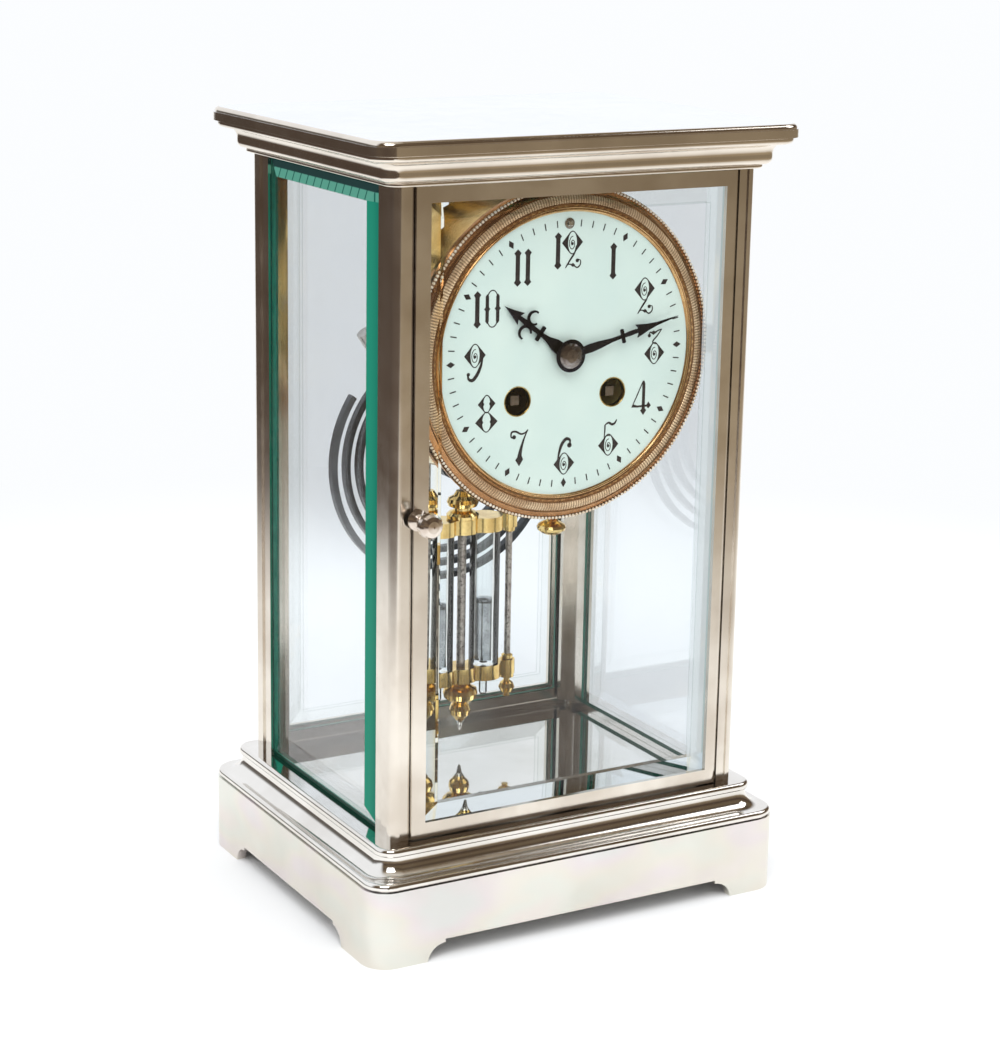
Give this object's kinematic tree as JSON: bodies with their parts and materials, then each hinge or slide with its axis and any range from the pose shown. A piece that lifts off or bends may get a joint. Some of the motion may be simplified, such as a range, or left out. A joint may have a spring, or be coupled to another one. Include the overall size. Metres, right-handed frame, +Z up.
{
  "type": "four-glass mantel clock",
  "caption": "Mantel clock in a nickel-plated case glazed on four sides, with an enamel dial, a striking spring movement and a two-jar mercury pendulum.",
  "frame": {"origin": "on the floor under the middle of the case", "axes": "+Z up; -Y towards the dial and front door; +X to the right of someone facing the dial"},
  "size_m": [0.1612, 0.1328, 0.27],
  "materials": {
    "nickel": "polished nickel plate, slightly warm",
    "polished_floor": "mirror-polished nickel",
    "bevelled_glass": "clear plate glass with green edges",
    "steel": "polished steel",
    "brass": "polished brass",
    "gilt_bezel": "coppery gilt brass",
    "enamel": "glossy vitreous enamel",
    "blued_steel": "blued steel",
    "iron": "dark iron",
    "jar_glass": "clear tube glass",
    "mercury": "liquid mercury"
  },
  "bodies": {
    "case": {"plinth": "nickel", "base_moulding": "nickel", "floor_plate": "polished_floor", "corner_post_front_left": "nickel", "corner_post_front_right": "nickel", "corner_post_rear_left": "nickel", "corner_post_rear_right": "nickel", "cornice": "nickel", "top_plate": "nickel", "side_glass_left": "bevelled_glass", "side_glass_right": "bevelled_glass", "case_screws": "steel", "movement_brackets": "nickel", "movement_drum": "brass", "drum_knob": "brass", "bezel": "gilt_bezel", "dial": "enamel", "front_plate": "brass", "back_plate": "brass", "movement_pillars": "brass", "suspension_bracket": "brass", "gong_stand": "iron", "gong_coil": "blued_steel", "ratchet_clicks": "steel"},
    "front_door": {"front_door_frame": "nickel", "front_door_glass": "bevelled_glass", "front_door_hinge_pins": "steel"},
    "front_latch": {"front_door_knob": "nickel"},
    "rear_door": {"rear_door_frame": "nickel", "rear_door_glass": "bevelled_glass", "rear_door_hinge_pins": "steel"},
    "rear_latch": {"rear_door_knob": "nickel"},
    "minute_arbor": {"centre_wheel": "brass", "minute_hand": "blued_steel", "hand_collet": "blued_steel"},
    "hour_wheel": {"hour_wheel": "brass", "hour_hand": "blued_steel"},
    "minute_wheel": {"minute_wheel": "brass"},
    "going_intermediate": {"going_intermediate_wheel": "brass"},
    "going_barrel": {"going_barrel": "brass", "going_mainspring": "steel"},
    "going_third": {"going_third_wheel": "brass"},
    "escape_wheel": {"escape_wheel": "brass"},
    "going_winding": {"going_winding_arbor": "steel"},
    "strike_pin_wheel": {"strike_pin_wheel": "brass"},
    "strike_second": {"strike_second_wheel": "brass"},
    "strike_barrel": {"strike_barrel": "brass", "strike_mainspring": "steel"},
    "strike_warning": {"strike_warning_wheel": "brass"},
    "strike_fly": {"strike_fly": "brass"},
    "strike_winding": {"strike_winding_arbor": "steel"},
    "pendulum": {"pendulum_rod": "steel", "pendulum_yokes": "brass", "pendulum_jars": "jar_glass", "pendulum_mercury": "mercury", "pendulum_side_rods": "steel"},
    "pallets": {"pallets": "steel", "crutch": "steel"},
    "rating_nut": {"rating_nut": "brass"},
    "hammer": {"hammer": "steel"}
  },
  "joints": [
    {"name": "front_door_hinge", "type": "hinge", "parent": "case", "child": "front_door", "pos_m": [0.0586, -0.0525, 0.148], "axis": [0, 0, 1], "range_deg": [0, 110]},
    {"name": "front_latch_turn", "type": "hinge", "parent": "front_door", "child": "front_latch", "pos_m": [-0.0596, -0.05, 0.148], "axis": [0, 1, 0], "range_deg": [0, 90]},
    {"name": "rear_door_hinge", "type": "hinge", "parent": "case", "child": "rear_door", "pos_m": [-0.0586, 0.0525, 0.148], "axis": [0, 0, 1], "range_deg": [0, 110]},
    {"name": "rear_latch_turn", "type": "hinge", "parent": "rear_door", "child": "rear_latch", "pos_m": [0.0596, 0.05, 0.148], "axis": [0, 1, 0], "range_deg": [0, 90]},
    {"name": "minute_hand_turn", "type": "hinge", "parent": "case", "child": "minute_arbor", "pos_m": [0, -0.03, 0.1955], "axis": [0, 1, 0], "continuous": true},
    {"name": "hour_hand_turn", "type": "hinge", "parent": "case", "child": "hour_wheel", "pos_m": [0, -0.04, 0.1955], "axis": [0, 1, 0], "continuous": true},
    {"name": "minute_wheel_turn", "type": "hinge", "parent": "case", "child": "minute_wheel", "pos_m": [0, -0.034, 0.2039], "axis": [0, 1, 0], "continuous": true},
    {"name": "going_intermediate_turn", "type": "hinge", "parent": "case", "child": "going_intermediate", "pos_m": [0.01372, -0.015, 0.20094], "axis": [0, 1, 0], "continuous": true},
    {"name": "going_barrel_turn", "type": "hinge", "parent": "case", "child": "going_barrel", "pos_m": [0.0183, -0.015, 0.1813], "axis": [0, 1, 0], "continuous": true},
    {"name": "going_third_turn", "type": "hinge", "parent": "case", "child": "going_third", "pos_m": [-0.0065, -0.015, 0.2075], "axis": [0, 1, 0], "continuous": true},
    {"name": "escape_wheel_turn", "type": "hinge", "parent": "case", "child": "escape_wheel", "pos_m": [0, -0.015, 0.21846], "axis": [0, 1, 0], "continuous": true},
    {"name": "going_winding_turn", "type": "hinge", "parent": "case", "child": "going_winding", "pos_m": [0.0183, -0.015, 0.1813], "axis": [0, 1, 0], "continuous": true},
    {"name": "strike_pin_wheel_turn", "type": "hinge", "parent": "case", "child": "strike_pin_wheel", "pos_m": [-0.02246, -0.015, 0.21497], "axis": [0, 1, 0], "continuous": true},
    {"name": "strike_second_turn", "type": "hinge", "parent": "case", "child": "strike_second", "pos_m": [-0.02006, -0.015, 0.20138], "axis": [0, 1, 0], "continuous": true},
    {"name": "strike_barrel_turn", "type": "hinge", "parent": "case", "child": "strike_barrel", "pos_m": [-0.0183, -0.015, 0.1813], "axis": [0, 1, 0], "continuous": true},
    {"name": "strike_warning_turn", "type": "hinge", "parent": "case", "child": "strike_warning", "pos_m": [-0.01318, -0.015, 0.21835], "axis": [0, 1, 0], "continuous": true},
    {"name": "strike_fly_turn", "type": "hinge", "parent": "case", "child": "strike_fly", "pos_m": [-0.00956, -0.015, 0.22462], "axis": [0, 1, 0], "continuous": true},
    {"name": "strike_winding_turn", "type": "hinge", "parent": "case", "child": "strike_winding", "pos_m": [-0.0183, -0.015, 0.1813], "axis": [0, 1, 0], "continuous": true},
    {"name": "pendulum_swing", "type": "hinge", "parent": "case", "child": "pendulum", "pos_m": [0, 0.023, 0.2294], "axis": [0, 1, 0], "range_deg": [-3.5, 3.5]},
    {"name": "pallets_rock", "type": "hinge", "parent": "case", "child": "pallets", "pos_m": [0, -0.004, 0.2294], "axis": [0, 1, 0], "range_deg": [-3.5, 3.5]},
    {"name": "rating_nut_turn", "type": "hinge", "parent": "pendulum", "child": "rating_nut", "pos_m": [0, 0.023, 0.055], "axis": [0, 0, 1], "continuous": true},
    {"name": "hammer_lift", "type": "hinge", "parent": "case", "child": "hammer", "pos_m": [-0.033, 0, 0.2125], "axis": [0, 1, 0], "range_deg": [0, 14]}
  ],
  "couplings": [
    {"joint": "hour_hand_turn", "follows": "minute_hand_turn", "ratio": 0.083333},
    {"joint": "minute_wheel_turn", "follows": "minute_hand_turn", "ratio": -0.33333},
    {"joint": "going_intermediate_turn", "follows": "minute_hand_turn", "ratio": -0.13889},
    {"joint": "going_barrel_turn", "follows": "minute_hand_turn", "ratio": 0.019841},
    {"joint": "going_third_turn", "follows": "minute_hand_turn", "ratio": -12},
    {"joint": "escape_wheel_turn", "follows": "minute_hand_turn", "ratio": 144},
    {"joint": "strike_second_turn", "follows": "strike_pin_wheel_turn", "ratio": -0.095238},
    {"joint": "strike_barrel_turn", "follows": "strike_pin_wheel_turn", "ratio": 0.013605},
    {"joint": "strike_warning_turn", "follows": "strike_pin_wheel_turn", "ratio": -10.286},
    {"joint": "strike_fly_turn", "follows": "strike_pin_wheel_turn", "ratio": 82.286},
    {"joint": "pallets_rock", "follows": "pendulum_swing", "ratio": 1}
  ]
}
